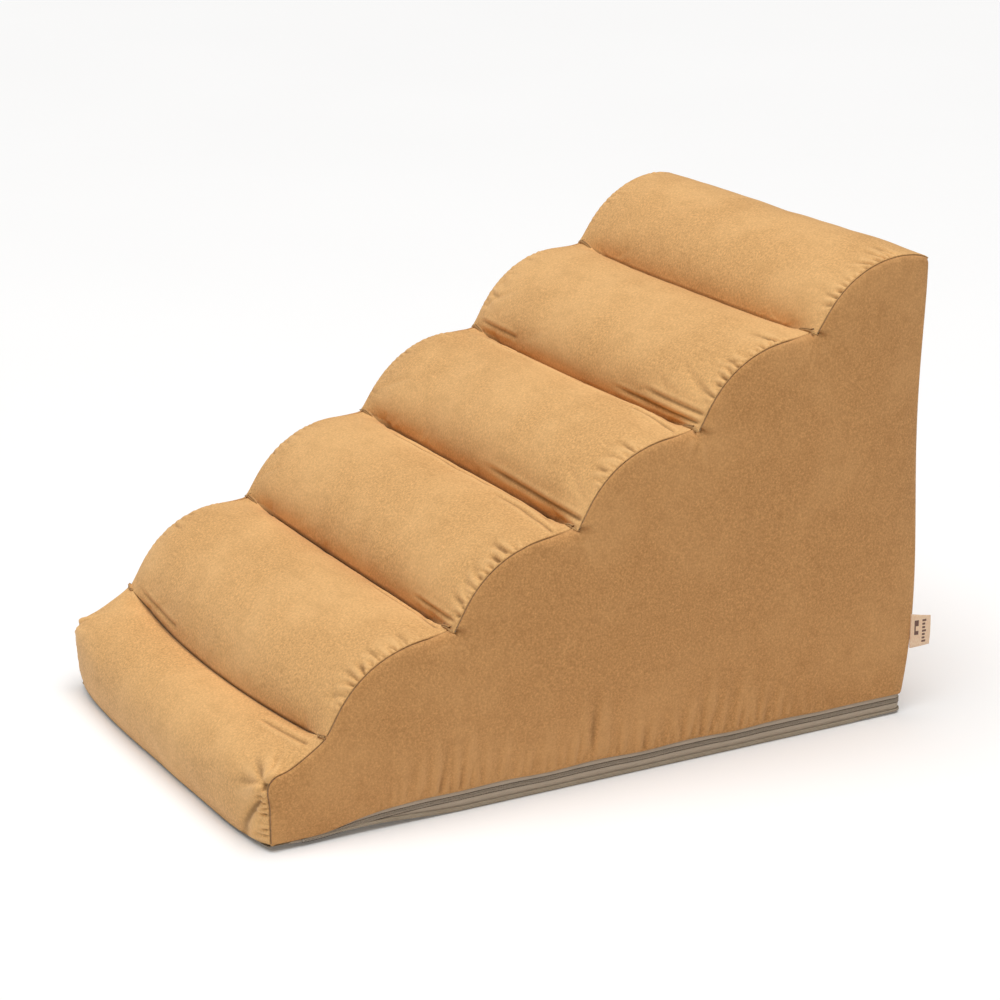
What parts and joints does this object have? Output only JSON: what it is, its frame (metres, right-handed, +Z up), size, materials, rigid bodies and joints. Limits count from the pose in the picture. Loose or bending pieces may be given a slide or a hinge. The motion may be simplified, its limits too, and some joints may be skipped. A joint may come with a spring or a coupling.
{
  "type": "foam pet steps",
  "caption": "Scalloped foam steps for a dog, in a zip-off microsuede cover with a canvas base, flat sides and an upright back.",
  "frame": {"origin": "on the floor, at the middle of the block's length and width", "axes": "+Z up, +Y from the low front end to the upright back, +X to the right of someone who climbs the steps"},
  "size_m": [0.4585, 0.7209, 0.463],
  "materials": {
    "cover_suede": "brushed microsuede, short nap",
    "base_canvas": "plain-weave canvas",
    "zip_tape": "woven polyester tape",
    "zip_coil": "nylon coil",
    "zip_metal": "enamelled zinc, satin",
    "label_ribbon": "woven satin ribbon",
    "foam": "open-cell polyurethane foam, cut surface"
  },
  "bodies": {
    "base": {"base_panel": "base_canvas", "zip_tape_lower": "zip_tape", "zip_coil_lower": "zip_coil", "zip_bottom_stop": "zip_metal", "zip_top_stop_lower": "zip_metal"},
    "upper": {"foam_core": "foam", "foot_panel": "cover_suede", "tread_panel_1": "cover_suede", "tread_panel_2": "cover_suede", "tread_panel_3": "cover_suede", "tread_panel_4": "cover_suede", "tread_panel_5": "cover_suede", "back_panel": "cover_suede", "side_panel_left": "cover_suede", "side_panel_right": "cover_suede", "zip_tape_upper": "zip_tape", "zip_coil_upper": "zip_coil", "zip_top_stop_upper": "zip_metal"},
    "slider": {"zip_slider_body": "zip_metal"},
    "pull": {"zip_pull_tab": "zip_metal"},
    "label": {"side_label": "label_ribbon"}
  },
  "joints": [
    {"name": "cover_opening", "type": "hinge", "parent": "base", "child": "upper", "pos_m": [0, -0.35, 0], "axis": [1, 0, 0], "range_deg": [0, 75]},
    {"name": "slider_run", "type": "slide", "parent": "base", "child": "slider", "axis": [0, 1, 0], "range_m": [0, 0.56]},
    {"name": "pull_swing", "type": "hinge", "parent": "slider", "child": "pull", "pos_m": [-0.22955, -0.288, 0.014], "axis": [0, 0, -1], "range_deg": [0, 175]},
    {"name": "label_flap", "type": "hinge", "parent": "upper", "child": "label", "pos_m": [0.2265, 0.3509, 0.0835], "axis": [0, 0, 1], "range_deg": [-65, 75]}
  ]
}
